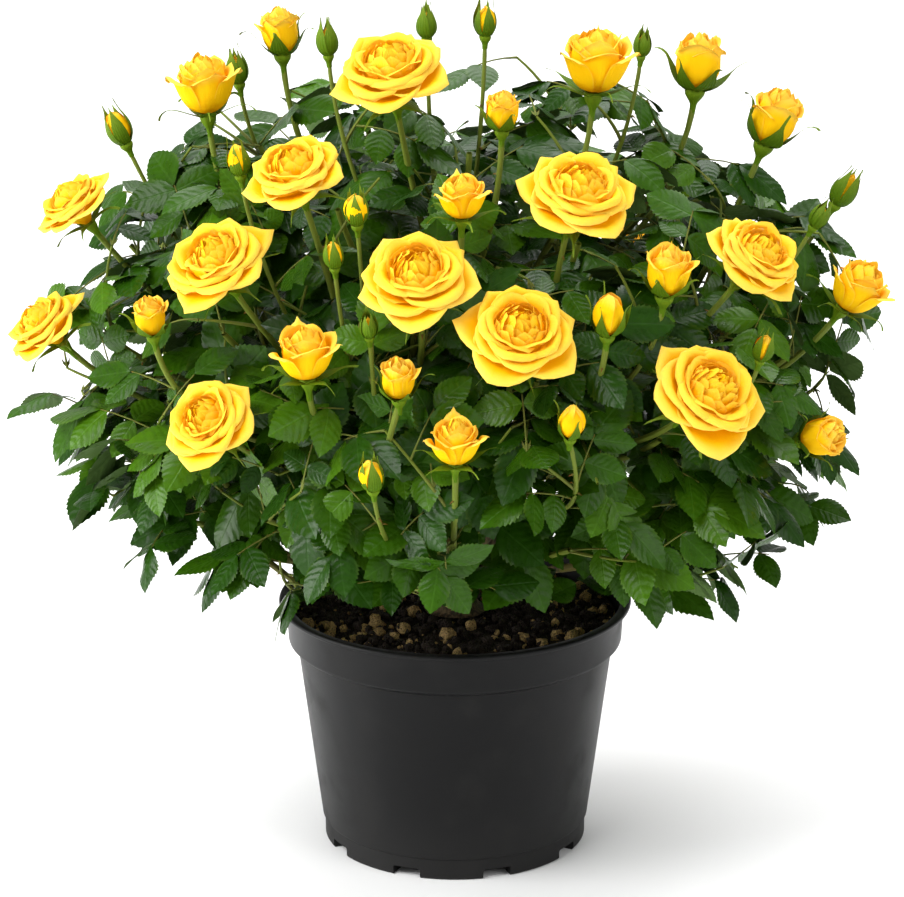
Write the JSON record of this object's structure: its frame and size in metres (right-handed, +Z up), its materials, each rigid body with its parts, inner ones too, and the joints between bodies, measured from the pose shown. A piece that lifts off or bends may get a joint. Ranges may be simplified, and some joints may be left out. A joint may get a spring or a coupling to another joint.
{
  "type": "potted rose bush",
  "caption": "Rounded miniature rose bush with yellow double roses and buds over glossy dark leaves, in a black plastic nursery pot.",
  "frame": {"origin": "middle of the pot's flat underside, where the plant stands", "axes": "+Z up along the pot's axis, -Y towards the side that is seen first, +X to the right of that view"},
  "size_m": [0.4934, 0.4751, 0.5165],
  "materials": {
    "pot_plastic": "satin",
    "potting_soil": "matte",
    "bark": "matte",
    "green_bark": "satin",
    "leaves_and_roses": "satin"
  },
  "bodies": {
    "root": {"pot": "pot_plastic", "potting_soil": "potting_soil", "crown_stem": "bark", "cane_top_1": "green_bark", "cane_top_2": "green_bark", "cane_top_3": "green_bark", "cane_middle_1": "green_bark", "cane_middle_2": "green_bark", "cane_middle_3": "green_bark", "cane_middle_4": "green_bark", "cane_middle_5": "green_bark", "cane_middle_6": "green_bark", "cane_low_1": "green_bark", "cane_low_2": "green_bark", "cane_low_3": "green_bark", "cane_low_4": "green_bark", "cane_low_5": "green_bark", "cane_low_6": "green_bark", "cane_low_7": "green_bark", "foliage_top_1": "leaves_and_roses", "foliage_top_2": "leaves_and_roses", "foliage_top_3": "leaves_and_roses", "foliage_middle_1": "leaves_and_roses", "foliage_middle_2": "leaves_and_roses", "foliage_middle_3": "leaves_and_roses", "foliage_middle_4": "leaves_and_roses", "foliage_middle_5": "leaves_and_roses", "foliage_middle_6": "leaves_and_roses", "foliage_low_1": "leaves_and_roses", "foliage_low_2": "leaves_and_roses", "foliage_low_3": "leaves_and_roses", "foliage_low_4": "leaves_and_roses", "foliage_low_5": "leaves_and_roses", "foliage_low_6": "leaves_and_roses", "foliage_low_7": "leaves_and_roses"}
  },
  "joints": []
}
